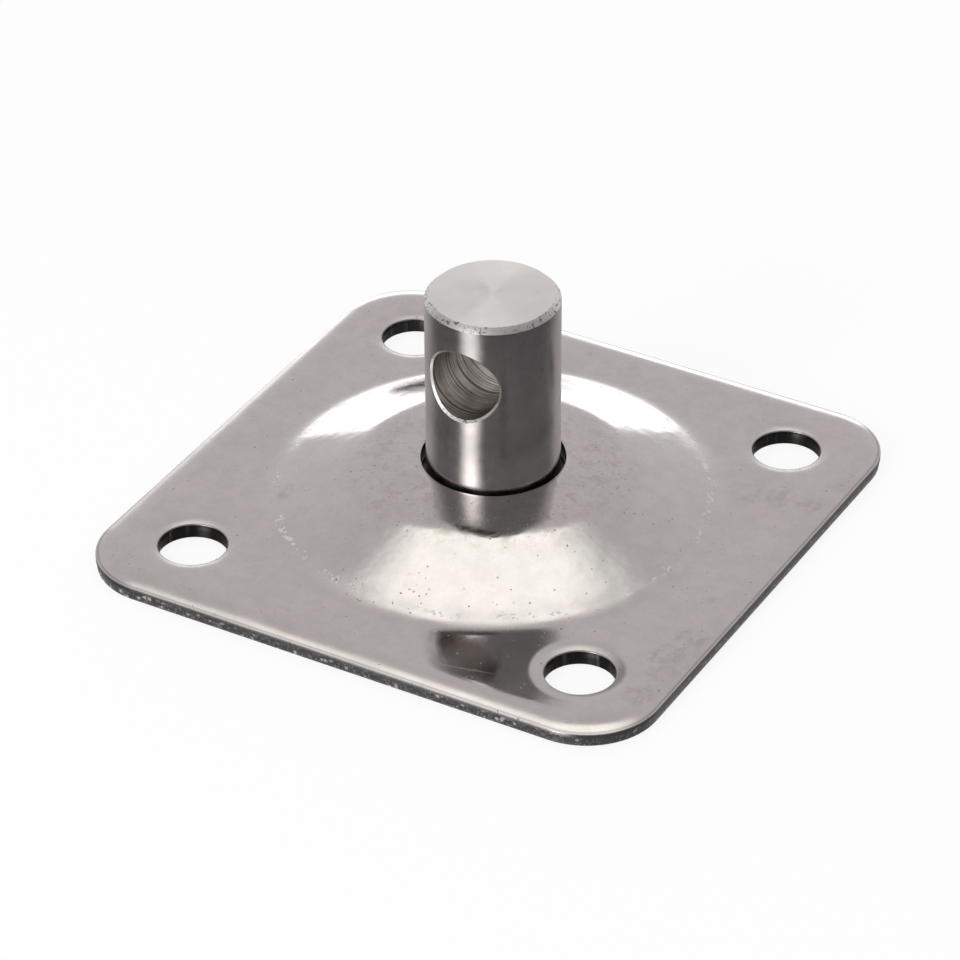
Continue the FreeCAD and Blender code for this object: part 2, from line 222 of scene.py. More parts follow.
def section(points, corners):
    """Turn an open section into spans, with its outer side on the right of its run.

    corners has one entry for each inner point: SMOOTH, or the radius of a rounding. A span is
    a pair of (point, normal) pairs.
    """
    places = [Vector(point) for point in points]
    path = [places[0]]
    shaded = [False]
    for index, radius in enumerate(corners, start=1):
        bend = [places[index]]
        if radius is not SMOOTH:
            bend = round_corner(places[index - 1], places[index], places[index + 1], radius)
        path.extend(bend)
        shaded.extend([True] * len(bend))
    path.append(places[-1])
    shaded.append(False)
    flat = []
    for first, second in zip(path, path[1:]):
        run = (second - first).normalized()
        flat.append(Vector((run.y, -run.x)))
    spans = []
    for index, (first, second) in enumerate(zip(path, path[1:])):
        start = flat[index]
        end = flat[index]
        if shaded[index]:
            start = (flat[index - 1] + flat[index]).normalized()
        if shaded[index + 1]:
            end = (flat[index] + flat[index + 1]).normalized()
        spans.append(((first, start), (second, end)))
    return spans


def arc(centre, radius, low, high, steps):
    """Points of a section's arc, at angles from the upright."""
    angles = [low + (high - low) * step / steps for step in range(steps + 1)]
    return [Vector(centre) + Vector((math.sin(a), math.cos(a))) * radius for a in angles]


def even_angles(count):
    return [2 * math.pi * index / count for index in range(count)]


def ring_stations(angles, origin=(0, 0)):
    """Stations of a revolved section: one origin, and a direction for each angle."""
    return [(Vector(origin), Vector((math.cos(angle), math.sin(angle)))) for angle in angles]


def outline_stations():
    """Stations round the plate's outline, each with the direction that leads inwards."""
    straight = HALF_SIDE - CORNER_RADIUS
    stations = []
    for quarter in range(4):
        turn = quarter * math.pi / 2
        across = Vector((math.cos(turn), math.sin(turn)))
        along = Vector((-math.sin(turn), math.cos(turn)))
        for step in range(STRAIGHT_STEPS):
            place = straight * (2 * step / STRAIGHT_STEPS - 1)
            stations.append((across * HALF_SIDE + along * place, -across))
        middle = (across + along) * straight
        for step in range(CORNER_STEPS):
            angle = turn + math.pi / 2 * step / CORNER_STEPS
            arm = Vector((math.cos(angle), math.sin(angle)))
            stations.append((middle + arm * CORNER_RADIUS, -arm))
    return stations


def roll_off(distance, drop, reach):
    """Height of the top skin at a distance from a sheared edge."""
    return SHEET - drop * (1 - distance / reach) ** ROLL_POWER


def sheared_section(edge, drop, reach, undercut):
    """Section across a sheared edge: the drawn-down skin, the burnished wall, the break."""
    distances = [reach * (1 - step / ROLL_STEPS) ** ROLL_CROWDING for step in range(ROLL_STEPS + 1)]
    points = [(edge + distance, roll_off(distance, drop, reach)) for distance in distances]
    corners = [SMOOTH] * (len(points) - 2) + [LIP_ROUNDING]
    points += [(edge, BREAK_HEIGHT), (edge + undercut, BREAK_HEIGHT - BREAK_SLOPE)]
    corners += [SMOOTH, SMOOTH]
    points += [(edge + undercut, 0.0), (edge + reach, 0.0)]
    corners += [BURR_ROUNDING]
    return section(points, corners)


def sheared_edge(maker, stations, edge, drop, reach, undercut, skin, wall):
    """Sweep a sheared edge round its stations, with its wall in a material of its own."""
    spans = sheared_section(edge, drop, reach, undercut)
    lip = roll_off(0, drop, reach) - LIP_BAND
    above = [span for span in spans if all(point.y >= lip for point, _ in span)]
    under = [span for span in spans if all(point.y < TOUCHING for point, _ in span)]
    between = [span for span in spans if span not in above and span not in under]
    maker.sweep(stations, above, skin)
    maker.sweep(stations, between, wall)
    maker.sweep(stations, under, skin)


def dome_section():
    """Section of the pressed dome from its foot over the top to the rim and back underneath."""
    foot_centre = (FOOT_RADIUS, SHEET + FOOT_FILLET)
    shoulder_centre = (SHOULDER_AXIS, SHOULDER_HEIGHT)
    crown_centre = (0, CROWN_CENTRE)

    def skin(depth, foot_steps, shoulder_steps, crown_steps):
        crown = CROWN_RADIUS - depth
        rim_angle = math.asin(RIM_RADIUS / crown)
        foot = arc(foot_centre, -FOOT_FILLET - depth, 0, FLANK_ANGLE, foot_steps)
        shoulder = arc(shoulder_centre, SHOULDER_RADIUS - depth, FLANK_ANGLE, CROWN_ANGLE, shoulder_steps)
        top = arc(crown_centre, crown, CROWN_ANGLE, rim_angle, crown_steps)
        return foot + shoulder + top[1:]

    above = skin(0, *TOP_SKIN_STEPS)
    under = skin(SHEET, *UNDER_SKIN_STEPS)
    rim = [RIM_ROUNDING, SEAT_ROUNDING]
    corners = [SMOOTH] * (len(above) - 2) + rim + [SMOOTH] * (len(under) - 2)
    return section(above + under[::-1], corners)


def flat_border(maker, loops, openings, skin):
    """Fill both flat faces of the sheet between the loops, and leave the openings free."""
    corners = [point for loop in loops for point in loop]
    borders = []
    for loop in loops:
        first = len(borders)
        borders += [(first + i, first + (i + 1) % len(loop)) for i in range(len(loop))]
    inside_only = 1
    points, _, triangles, *_ = delaunay_2d_cdt(corners, borders, [], inside_only, TOUCHING)
    sides = ((SHEET, Vector((0, 0, 1))), (0.0, Vector((0, 0, -1))))
    for triangle in triangles:
        middle = sum((points[i] for i in triangle), Vector((0, 0))) / 3
        if any((middle - centre).length < reach for centre, reach in openings):
            continue
        for height, facing in sides:
            maker.face([((*points[i], height), facing) for i in triangle], skin)


def make_plate(materials):
    """The pressed sheet: flat border, dome, sheared outline and four punched holes."""
    maker = MeshMaker()
    skin, edge, bore = range(3)
    outline = outline_stations()
    sheared_edge(maker, outline, 0.0, EDGE_DROP, EDGE_REACH, EDGE_BREAK, skin, edge)
    loops = [[origin + direction * EDGE_REACH for origin, direction in outline]]

    centres = [Vector((x, y)) for x in (-HALF_PITCH, HALF_PITCH) for y in (-HALF_PITCH, HALF_PITCH)]
    reach = FIXING_RADIUS + HOLE_REACH
    for centre in centres:
        stations = ring_stations(even_angles(HOLE_STEPS), centre)
        sheared_edge(maker, stations, FIXING_RADIUS, HOLE_DROP, HOLE_REACH, HOLE_BREAK, skin, bore)
        loops.append([origin + direction * reach for origin, direction in stations])

    stations = ring_stations(even_angles(DOME_STEPS))
    dome = dome_section()
    rim = [span for span in dome if all(point.x < RIM_RADIUS + TOUCHING for point, _ in span)]
    maker.sweep(stations, [span for span in dome if span not in rim], skin)
    maker.sweep(stations, rim, bore)
    loops.append([direction * FOOT_RADIUS for _, direction in stations])

    openings = [(centre, reach) for centre in centres] + [(Vector((0, 0)), FOOT_RADIUS)]
    flat_border(maker, loops, openings, skin)
    return maker.build("pressed_plate", materials)


def shaft_angles():
    """Angles round the shaft from +Y towards +X, even over each patch and each flank."""
    angles = []
    for middle in MOUTHS:
        low = middle - PATCH_HALF_ANGLE
        span = 2 * PATCH_HALF_ANGLE
        angles += [low + span * step / PATCH_STEPS for step in range(PATCH_STEPS)]
        low = middle + PATCH_HALF_ANGLE
        span = math.pi - 2 * PATCH_HALF_ANGLE
        angles += [low + span * step / FLANK_STEPS for step in range(FLANK_STEPS)]
    return angles


def on_shaft(angle, height):
    """Point and normal of the shaft, with the angle from +Y towards +X."""
    outward = Vector((math.sin(angle), math.cos(angle), 0))
    return outward * SHAFT_RADIUS + Vector((0, 0, height)), outward


def patch_border():
    """Square border of the patch round a mouth, as (across, up) pairs in a ring."""
    steps = [2 * step / PATCH_STEPS - 1 for step in range(PATCH_STEPS)]
    square = [(along, -1) for along in steps] + [(1, along) for along in steps]
    square += [(-along, 1) for along in steps] + [(-1, -along) for along in steps]
    return square


def patch_rings(side, square, turns):
    """Rings of a mouth's patch on the shaft, from the lip of the cross hole to the border."""
    outer = BORE_RADIUS + BORE_CHAMFER
    lip = [(math.asin(outer * math.cos(turn) / SHAFT_RADIUS), outer * math.sin(turn)) for turn in turns]
    rings = []
    for row in range(PATCH_ROWS + 1):
        share = (row / PATCH_ROWS) ** PATCH_CROWDING
        ring = []
        for (near_angle, near_height), (across, up) in zip(lip, square):
            angle = near_angle + (across * PATCH_HALF_ANGLE - near_angle) * share
            height = near_height + (up * PATCH_HALF_HEIGHT - near_height) * share
            ring.append(on_shaft(side + angle, BORE_HEIGHT + height))
        rings.append(ring)
    return rings


def open_mouth(maker, side, shaft, chamfer):
    """Make a mouth's patch and its chamfer, and return the ring where the hole's wall starts."""
    square = patch_border()
    turns = [math.atan2(up, across) for across, up in square]
    rings = patch_rings(side, square, turns)
    for first, second in zip(rings, rings[1:]):
        maker.quads(first, second, shaft)

    facing = math.cos(side)
    lips = [point for point, _ in rings[0]]
    inner = []
    for turn in turns:
        x = facing * BORE_RADIUS * math.cos(turn)
        y = facing * (math.sqrt(SHAFT_RADIUS ** 2 - x ** 2) - BORE_CHAMFER)
        inner.append(Vector((x, y, BORE_HEIGHT + BORE_RADIUS * math.sin(turn))))
    away = Vector((0, facing, 0))
    slopes = []
    for index, (lip, edge) in enumerate(zip(lips, inner)):
        run = lips[(index + 1) % len(lips)] - lips[index - 1]
        slope = run.cross(edge - lip).normalized()
        slopes.append(slope if slope.dot(away) > 0 else -slope)
    maker.quads(list(zip(lips, slopes)), list(zip(inner, slopes)), chamfer)
    return inner


def shaft_flanks(maker, shaft):
    """The shaft between the two patches, over their height."""
    half = math.pi / 2 - PATCH_HALF_ANGLE
    heights = [BORE_HEIGHT + PATCH_HALF_HEIGHT * (2 * step / PATCH_STEPS - 1)
               for step in range(PATCH_STEPS + 1)]
    for middle in (math.pi / 2, 3 * math.pi / 2):
        angles = [middle + half * (2 * step / FLANK_STEPS - 1) for step in range(FLANK_STEPS + 1)]
        for low, high in zip(heights, heights[1:]):
            lower = [on_shaft(angle, low) for angle in angles]
            upper = [on_shaft(angle, high) for angle in angles]
            maker.quads(lower, upper, shaft, closed=False)


def bore_wall(maker, near, far, bore):
    """The wall of the cross hole, between the rings at its two mouths."""
    facing = far[::-1]

    def offset(index):
        return abs(facing[index].x - near[0].x) + abs(facing[index].z - near[0].z)

    shift = min(range(len(facing)), key=offset)
    opposite = facing[shift:] + facing[:shift]
    rings = []
    for step in range(BORE_STEPS + 1):
        points = [start.lerp(end, step / BORE_STEPS) for start, end in zip(near, opposite)]
        rings.append([(point, Vector((-point.x, 0, BORE_HEIGHT - point.z))) for point in points])
    for first, second in zip(rings, rings[1:]):
        maker.quads(first, second, bore)


def make_post(materials):
    """The turned post: head, shaft with its cross hole, chamfer and faced top."""
    maker = MeshMaker()
    shaft, chamfer, face, bore, head = range(5)
    stations = [(Vector((0, 0)), Vector((math.sin(a), math.cos(a)))) for a in shaft_angles()]

    seat = CROWN_RADIUS - SHEET - HEAD_CLEARANCE
    low, high = math.asin(HEAD_RADIUS / seat), math.asin(SHAFT_RADIUS / seat)
    angles = [low + (high - low) * step / SEAT_STEPS for step in range(SEAT_STEPS + 1)]
    seat_points = [(seat * math.sin(a), CROWN_CENTRE + seat * math.cos(a)) for a in angles]
    points = [(0, HEAD_LIFT), (HEAD_RADIUS, HEAD_LIFT)] + seat_points
    corners = [HEAD_ROUNDING, HEAD_ROUNDING] + [SMOOTH] * (SEAT_STEPS - 1)
    maker.sweep(stations, section(points, corners), head)

    neck = [(SHAFT_RADIUS, seat_points[-1][1]), (SHAFT_RADIUS, BORE_HEIGHT - PATCH_HALF_HEIGHT)]
    maker.sweep(stations, section(neck, []), shaft)
    top = [(SHAFT_RADIUS, BORE_HEIGHT + PATCH_HALF_HEIGHT), (SHAFT_RADIUS, POST_TOP - TOP_CHAMFER),
           (SHAFT_RADIUS - TOP_CHAMFER, POST_TOP), (0, POST_TOP)]
    collar, *slope, disc = section(top, [CHAMFER_ROUNDING, CHAMFER_ROUNDING])
    maker.sweep(stations, [collar], shaft)
    maker.sweep(stations, slope, chamfer)
    maker.sweep(stations, [disc], face)

    near, far = [open_mouth(maker, side, shaft, chamfer) for side in MOUTHS]
    shaft_flanks(maker, shaft)
    bore_wall(maker, near, far, bore)
    return maker.build("turned_post", materials)


class Shader:
    """Build a material's node tree by short calls; its places and sizes are in millimetres."""

    def __init__(self, name):
        self.material = bpy.data.materials.new(name)
        self.material.use_nodes = True
        self.tree = self.material.node_tree
        self.surface = self.tree.nodes["Principled BSDF"]
        place = self.add("ShaderNodeTexCoord").outputs["Object"]
        self.place = self.vector("SCALE", place, scale=PER_METRE)
        self.x, self.y, self.z = self.add("ShaderNodeSeparateXYZ", {0: self.place}).outputs

    def add(self, kind, inputs=None, **settings):
        node = self.tree.nodes.new(kind)
        for name, value in settings.items():
            setattr(node, name, value)
        for name, value in (inputs or {}).items():
            self.feed(node.inputs[name], value)
        return node

    def feed(self, socket, value):
        if isinstance(value, bpy.types.NodeSocket):
            self.tree.links.new(value, socket)
        else:
            socket.default_value = value

    def math(self, operation, *values):
        return self.add("ShaderNodeMath", dict(enumerate(values)), operation=operation).outputs[0]

    def vector(self, operation, *values, scale=None):
        inputs = dict(enumerate(values))
        if scale is not None:
            inputs["Scale"] = scale
        node = self.add("ShaderNodeVectorMath", inputs, operation=operation)
        return node.outputs["Value" if operation in ("LENGTH", "DOT_PRODUCT", "DISTANCE") else "Vector"]

    def fade(self, value, low, high, start=0.0, end=1.0):
        """Go smoothly from start to end as a value goes from low to high."""
        inputs = {"Value": value, "From Min": low, "From Max": high, "To Min": start, "To Max": end}
        return self.add("ShaderNodeMapRange", inputs, interpolation_type="SMOOTHSTEP").outputs[0]

    def noise(self, size, seed, place=None, detail=2.0, roughness=0.5):
        """Cloudy values about 0.5, with features of a size in millimetres."""
        inputs = {"Vector": place or self.place, "W": float(seed), "Scale": 1 / size,
                  "Detail": detail, "Roughness": roughness}
        return self.add("ShaderNodeTexNoise", inputs, noise_dimensions="4D").outputs[0]

    def cells(self, size, seed, place=None):
        """Distance to the nearest of many scattered points, and that point's own random value."""
        moved = self.vector("ADD", place or self.place, (seed * 3.1, seed * 7.7, seed * 1.9))
        node = self.add("ShaderNodeTexVoronoi", {"Vector": moved, "Scale": 1 / size})
        own = self.add("ShaderNodeSeparateColor", {0: node.outputs["Color"]}).outputs[0]
        return node.outputs["Distance"], own

    def mix(self, factor, first, second):
        node = self.add("ShaderNodeMix", data_type="RGBA")
        self.feed(node.inputs[0], factor)
        self.feed(node.inputs[6], first)
        self.feed(node.inputs[7], second)
        return node.outputs[2]

    def turned(self, degrees, stretch):
        """Coordinates turned about Z and stretched, for lines in one direction."""
        inputs = {"Vector": self.place, "Rotation": (0, 0, math.radians(degrees)), "Scale": stretch}
        return self.add("ShaderNodeMapping", inputs, vector_type="TEXTURE").outputs[0]

    def total(self, *values):
        result = values[0]
        for value in values[1:]:
            result = self.math("ADD", result, value)
        return result

    def times(self, *values):
        result = values[0]
        for value in values[1:]:
            result = self.math("MULTIPLY", result, value)
        return result

    def level(self):
        """The place seen from above, without its height."""
        return self.add("ShaderNodeCombineXYZ", {0: self.x, 1: self.y}).outputs[0]

    def spot(self, x, y, inner, outer, ragged):
        """A ragged patch on the plate about a place."""
        reach = self.vector("DISTANCE", self.level(), (x, y, 0.0))
        rough_reach = self.math("MULTIPLY_ADD", ragged, outer, reach)
        return self.fade(rough_reach, inner + outer / 2, outer * 1.5, 1.0, 0.0)

    def bump(self, height):
        """Tilt the surface by a height in millimetres."""
        inputs = {"Height": height, "Distance": METRE, "Strength": 1.0}
        return self.add("ShaderNodeBump", inputs).outputs[0]

    def finish(self, **inputs):
        """Set the surface's own sockets; underscores stand for spaces."""
        for name, value in inputs.items():
            self.feed(self.surface.inputs[name.replace("_", " ")], value)
        return self.material


def tint(red, green=None, blue=None):
    return (red, red if green is None else green, red if blue is None else blue, 1.0)


# Heights of the sheet's waves and marks, how far it droops to its edge, and what is rubbed
WAVE = 0.07
PEEL, SHOULDER_PEEL = 0.020, 0.042
FINE_PEEL, GRAIN_PEEL = 0.0035, 0.0005
FLECK = 0.004
DROOP, DROOP_WIDTH = 0.06, 3.0
EDGE_RUB, HOLE_RUB = 0.09, 0.24
SKIN_ROUGH = (0.08, 0.15)

# Stains on the plate: place, solid radius, outer radius and depth
STAINS = (
    (18.4, 10.6, 0.2, 1.5, 0.26),
    (20.4, 10.9, 0.2, 1.2, 0.36),
    (22.9, 10.9, 0.1, 0.9, 0.42),
    (24.4, 14.9, 0.1, 0.7, 0.40),
    (22.3, -4.4, 0.1, 0.7, 0.30),
    (23.3, -9.7, 0.2, 1.2, 0.44),
    (23.0, -12.6, 0.2, 1.3, 0.46),
    (23.4, -14.6, 0.2, 1.1, 0.40),
    (23.2, -18.0, 0.1, 1.2, 0.44),
    (-14.2, -8.8, 0.1, 0.7, 0.40),
)

# Places with a crowd of small pits: place and radius
PIT_CROWDS = (
    (-2.5, -18.0, 3.0),
    (1.6, -16.4, 2.4),
    (8.8, -13.8, 1.5),
    (14.0, -14.0, 1.3),
    (4.5, 11.6, 1.6),
    (7.9, 3.9, 2.2),
    (-21.4, -22.6, 1.6),
    (-19.5, -23.9, 1.6),
    (-13.6, -24.5, 1.8),
    (-8.0, -24.6, 2.2),
    (6.5, -6.5, 3.6),
    (-4.0, -9.5, 3.2),
    (9.0, 1.5, 3.4),
)

# Pits of three sizes: spacing, seed, solid and outer reach, share without and with a crowd,
# and depth of their colour; the crown carries this many times more
PIT_KINDS = (
    (0.36, 1, 0.10, 0.28, 0.035, 0.26, 0.65),
    (0.80, 2, 0.05, 0.155, 0.05, 0.22, 0.75),
    (2.30, 3, 0.03, 0.09, 0.10, 0.10, 0.8),
)
PIT_CROWN_GAIN = 2.5
SCRATCH_DIRECTIONS = (12.0, 57.0, 101.0, 148.0)


def sheet_skin():
    """Bright rolled and pressed stainless: wavy, lightly scratched, pitted and smudged."""
    s = Shader("pressed_sheet_skin")
    flat_place = s.level()
    radius = s.vector("LENGTH", flat_place)
    on_dome = s.fade(radius, 17.0, 19.0, 1.0, 0.0)
    on_crown = s.fade(radius, 9.0, 14.0, 1.0, 0.0)

    # Colour: warm grey that drifts between a pinkish and a greenish cast, with a fine grain
    cast = s.fade(s.noise(7.0, 1, detail=3.0), 0.38, 0.62)
    mottle = s.fade(s.noise(1.4, 2, detail=4.0, roughness=0.6), 0.35, 0.65)
    grain = s.fade(s.noise(0.22, 10, detail=3.0, roughness=0.7), 0.35, 0.65)
    colour = s.mix(cast, tint(0.612, 0.60, 0.583), tint(0.637, 0.596, 0.596))
    colour = s.mix(s.times(mottle, 0.45), colour, tint(0.54, 0.515, 0.512))
    grain_depth = s.fade(on_crown, 0.0, 1.0, 0.10, 0.22)
    colour = s.mix(s.times(grain, grain_depth), colour, tint(0.40, 0.375, 0.365))

    # Brownish scuffs on the crown, near the post
    scuff = s.times(on_crown, s.fade(s.noise(0.9, 12, detail=5.0, roughness=0.7), 0.48, 0.64))
    colour = s.mix(s.times(scuff, 0.42), colour, tint(0.42, 0.36, 0.32))

    # Smudges and stains at the places where the plate carries them
    cloud = s.noise(1.5, 3, detail=4.0, roughness=0.65)
    ragged = s.math("SUBTRACT", cloud, 0.5)
    stain = 0.0
    for x, y, inner, outer, depth in STAINS:
        patch = s.spot(x, y, inner, outer, s.times(ragged, 3.0))
        stain = s.math("MAXIMUM", stain, s.times(patch, depth))
    smear = s.noise(1.0, 4, s.turned(90.0, (0.9, 0.6, 1.0)), detail=5.0, roughness=0.62)
    blotch = s.times(stain, s.fade(smear, 0.42, 0.62, 0.12, 0.9))
    colour = s.mix(blotch, colour, tint(0.33, 0.315, 0.29))

    # Pits: small dark ragged dents in three sizes, thicker on the crown and in a few crowds
    crowd = 0.0
    for x, y, reach in PIT_CROWDS:
        crowd = s.math("MAXIMUM", crowd, s.spot(x, y, 0.0, reach / 1.5, ragged))
    drift = s.add("ShaderNodeTexNoise", {"Vector": s.place, "Scale": 5.0}).outputs["Color"]
    ragged_place = s.vector("ADD", s.place, s.vector("SCALE", drift, scale=0.22))
    pits = 0.0
    for size, seed, low, high, few, many, depth in PIT_KINDS:
        gap, own = s.cells(size, seed, ragged_place)
        share = s.total(few, s.times(crowd, many), s.times(on_crown, few, PIT_CROWN_GAIN))
        kind = s.times(s.fade(gap, low, high, 1.0, 0.0), s.math("LESS_THAN", own, share), depth)
        pits = s.math("MAXIMUM", pits, kind)
    colour = s.mix(pits, colour, tint(0.17, 0.155, 0.145))

    # Scratches: thin broken lines in a few directions
    scratch = 0.0
    for number, degrees in enumerate(SCRATCH_DIRECTIONS):
        lines = s.noise(1.0, 20 + number, s.turned(degrees, (16.0, 0.16, 1.0)), detail=1.0)
        broken = s.fade(s.noise(5.0, 30 + number, detail=1.0), 0.56, 0.64)
        scratch = s.math("MAXIMUM", scratch, s.times(s.fade(lines, 0.68, 0.73), broken))

    # Wave: slow unevenness all over, peel in three sizes on the pressed dome, and a broken
    # ring of flecks where the sheet turned over the die
    wave = s.times(s.math("SUBTRACT", s.noise(11.0, 6, detail=1.0), 0.5), WAVE)
    pressed = s.times(on_dome, s.fade(radius, 8.5, 10.5, PEEL, SHOULDER_PEEL))
    peel = s.times(s.math("SUBTRACT", s.noise(2.6, 7, detail=2.0), 0.5), pressed)
    fine_peel = s.times(s.math("SUBTRACT", s.noise(0.7, 11, detail=2.0), 0.5),
                        s.total(0.35, s.times(on_dome, 0.65)), FINE_PEEL)
    grain_peel = s.times(grain, GRAIN_PEEL)
    wander = s.math("MULTIPLY_ADD", s.math("SUBTRACT", s.noise(3.0, 15, detail=1.0), 0.5), 0.8, radius)
    ring = s.times(s.fade(wander, 17.2, 17.5), s.fade(wander, 17.8, 18.1, 1.0, 0.0))
    lie = s.times(ring, s.fade(s.noise(5.0, 13, detail=1.0), 0.42, 0.52))
    die_flecks_and_glints = s.times(lie, s.fade(s.noise(0.36, 8, detail=2.0), 0.54, 0.62))
    lie_cloud = s.fade(s.noise(4.0, 14, detail=2.0), 0.35, 0.65, 0.4, 1.0)
    scuffed_ring = s.times(s.fade(radius, 16.2, 17.6), s.fade(radius, 18.4, 19.6, 1.0, 0.0))
    straight = HALF_SIDE - CORNER_RADIUS
    folded = s.vector("ABSOLUTE", flat_place)
    past = s.vector("SUBTRACT", folded, (straight, straight, 0.0))
    beyond = s.vector("MAXIMUM", past, (0.0, 0.0, 0.0))
    edge_gap = s.math("SUBTRACT", CORNER_RADIUS, s.vector("LENGTH", beyond))
    from_hole = s.vector("DISTANCE", folded, (HALF_PITCH, HALF_PITCH, 0.0))
    hole_gap = s.math("SUBTRACT", from_hole, FIXING_RADIUS)
    edge_rub = s.fade(edge_gap, 0.2, 2.4, EDGE_RUB, 0.0)
    rubbed = s.math("MAXIMUM", edge_rub, s.fade(hole_gap, 0.1, 1.2, HOLE_RUB, 0.0))
    # Painted shade: a dark line just inside the outline's lip, standing in for the dark band that the edge
    # roll mirrors
    painted_lip_shade = s.times(s.fade(edge_gap, 0.08, 0.15), s.fade(edge_gap, 0.22, 0.32, 1.0, 0.0))
    colour = s.mix(s.times(painted_lip_shade, 0.5), colour, tint(0.25, 0.235, 0.235))
    droop = s.times(s.math("EXPONENT", s.math("DIVIDE", edge_gap, -DROOP_WIDTH)), -DROOP)
    height = s.total(wave, peel, fine_peel, grain_peel, s.times(die_flecks_and_glints, FLECK), droop,
                     s.times(pits, -0.008), s.times(scratch, -0.0008))
    normal = s.bump(height)

    rough = s.fade(s.noise(3.0, 9, detail=3.0), 0.3, 0.7, SKIN_ROUGH[0], SKIN_ROUGH[1])
    rough = s.total(rough, s.times(scratch, 0.1), s.times(blotch, 0.25), s.times(pits, 0.3),
                    s.times(scuff, 0.12), s.times(die_flecks_and_glints, 0.30),
                    s.times(scuffed_ring, lie_cloud, 0.16), rubbed)
    # Painted glint: the die marks' flecks are also coloured near white, beside their real bump and roughness
    colour = s.mix(s.times(die_flecks_and_glints, 0.65), colour, tint(0.93, 0.92, 0.91))
    return s.finish(Base_Color=colour, Metallic=1.0, Roughness=rough, Normal=normal)


def sheared_wall():
    """The outline's wall: a dark burnished band over a torn band, whose grains and chips are painted bright
    as glints.
    """
    s = Shader("sheared_edge")
    ragged = s.math("SUBTRACT", s.noise(1.4, 2), 0.5)
    torn = s.fade(s.math("MULTIPLY_ADD", ragged, 0.7, s.z), 0.66, 0.84, 1.0, 0.0)
    streaky = s.fade(s.noise(1.0, 1, s.turned(0.0, (0.16, 0.16, 0.30)), detail=2.0), 0.48, 0.66)
    gap, own = s.cells(0.56, 5)
    chip = s.times(s.fade(s.math("MULTIPLY_ADD", ragged, 0.3, gap), 0.20, 0.44, 1.0, 0.0),
                   s.fade(own, 0.35, 0.80, 1.0, 0.0))
    torn_grains_and_glints = s.times(torn, s.math("MAXIMUM", chip, s.times(streaky, 0.45)))
    colour = s.mix(torn, tint(0.40, 0.38, 0.40), tint(0.36, 0.345, 0.36))
    # Painted glint: the torn band's grains and chips are coloured near white
    colour = s.mix(torn_grains_and_glints, colour, tint(0.96, 0.95, 0.95))
    streaks = s.noise(0.25, 3, s.turned(0.0, (1.0, 1.0, 8.0)), detail=2.0)
    height = s.total(s.times(streaks, 0.012), s.times(torn, streaky, 0.02))
    rough = s.total(s.fade(torn, 0.0, 1.0, 0.30, 0.42), s.times(torn_grains_and_glints, 0.5))
    return s.finish(Base_Color=colour, Metallic=1.0, Roughness=rough, Normal=s.bump(height))


def punched_wall():
    """The wall of a fixing hole: dark with painted shade of the hole, with upright streaks from the punch."""
    s = Shader("punched_bore")
    streak = s.noise(0.45, 4, s.turned(0.0, (1.0, 1.0, 14.0)), detail=2.0)
    # Painted shade: the wall's colour is set far darker than the sheet's, as the shade inside the hole
    colour = s.mix(s.fade(streak, 0.52, 0.72), tint(0.10, 0.093, 0.088), tint(0.27, 0.265, 0.265))
    normal = s.bump(s.times(streak, 0.02))
    return s.finish(Base_Color=colour, Metallic=1.0, Roughness=0.32, Normal=normal)


def turned_metal(name, colour_pair, rough_pair, anisotropy, marks, seed):
    """Turned steel, whose marks run round the axis and spread light across them."""
    s = Shader(name)
    cloud = s.fade(s.noise(2.2, seed, detail=3.0), 0.35, 0.65)
    colour = s.mix(cloud, *colour_pair)
    rough = s.fade(s.noise(0.9, seed + 1, detail=3.0), 0.3, 0.7, *rough_pair)
    around = s.add("ShaderNodeTangent", direction_type="RADIAL", axis="Z").outputs[0]
    return s, colour, rough, around, s.bump(marks(s)), anisotropy


def shaft_metal():
    """The shaft: fine marks round it and a few dark specks."""
    def marks(s):
        rings = s.noise(1.0, 5, s.turned(0.0, (30.0, 30.0, 0.16)), detail=1.0)
        return s.times(s.math("SUBTRACT", rings, 0.5), 0.0008)
    s, colour, rough, around, normal, spread = turned_metal(
        "turned_shaft", (tint(0.55, 0.54, 0.53), tint(0.61, 0.60, 0.59)), (0.19, 0.27), 0.45, marks, 3)
    gap, own = s.cells(0.8, 4)
    speck = s.times(s.fade(gap, 0.08, 0.18, 1.0, 0.0), s.math("LESS_THAN", own, 0.10))
    colour = s.mix(s.times(speck, 0.5), colour, tint(0.2, 0.19, 0.18))
    return s.finish(Base_Color=colour, Metallic=1.0, Roughness=rough, Normal=normal,
                    Anisotropic=spread, Anisotropic_Rotation=0.25, Tangent=around)


# Direction of the lighter sectors painted into the faced top as its glint
GLINT_SECTOR_DIRECTION = (0.42, -0.907, 0.0)


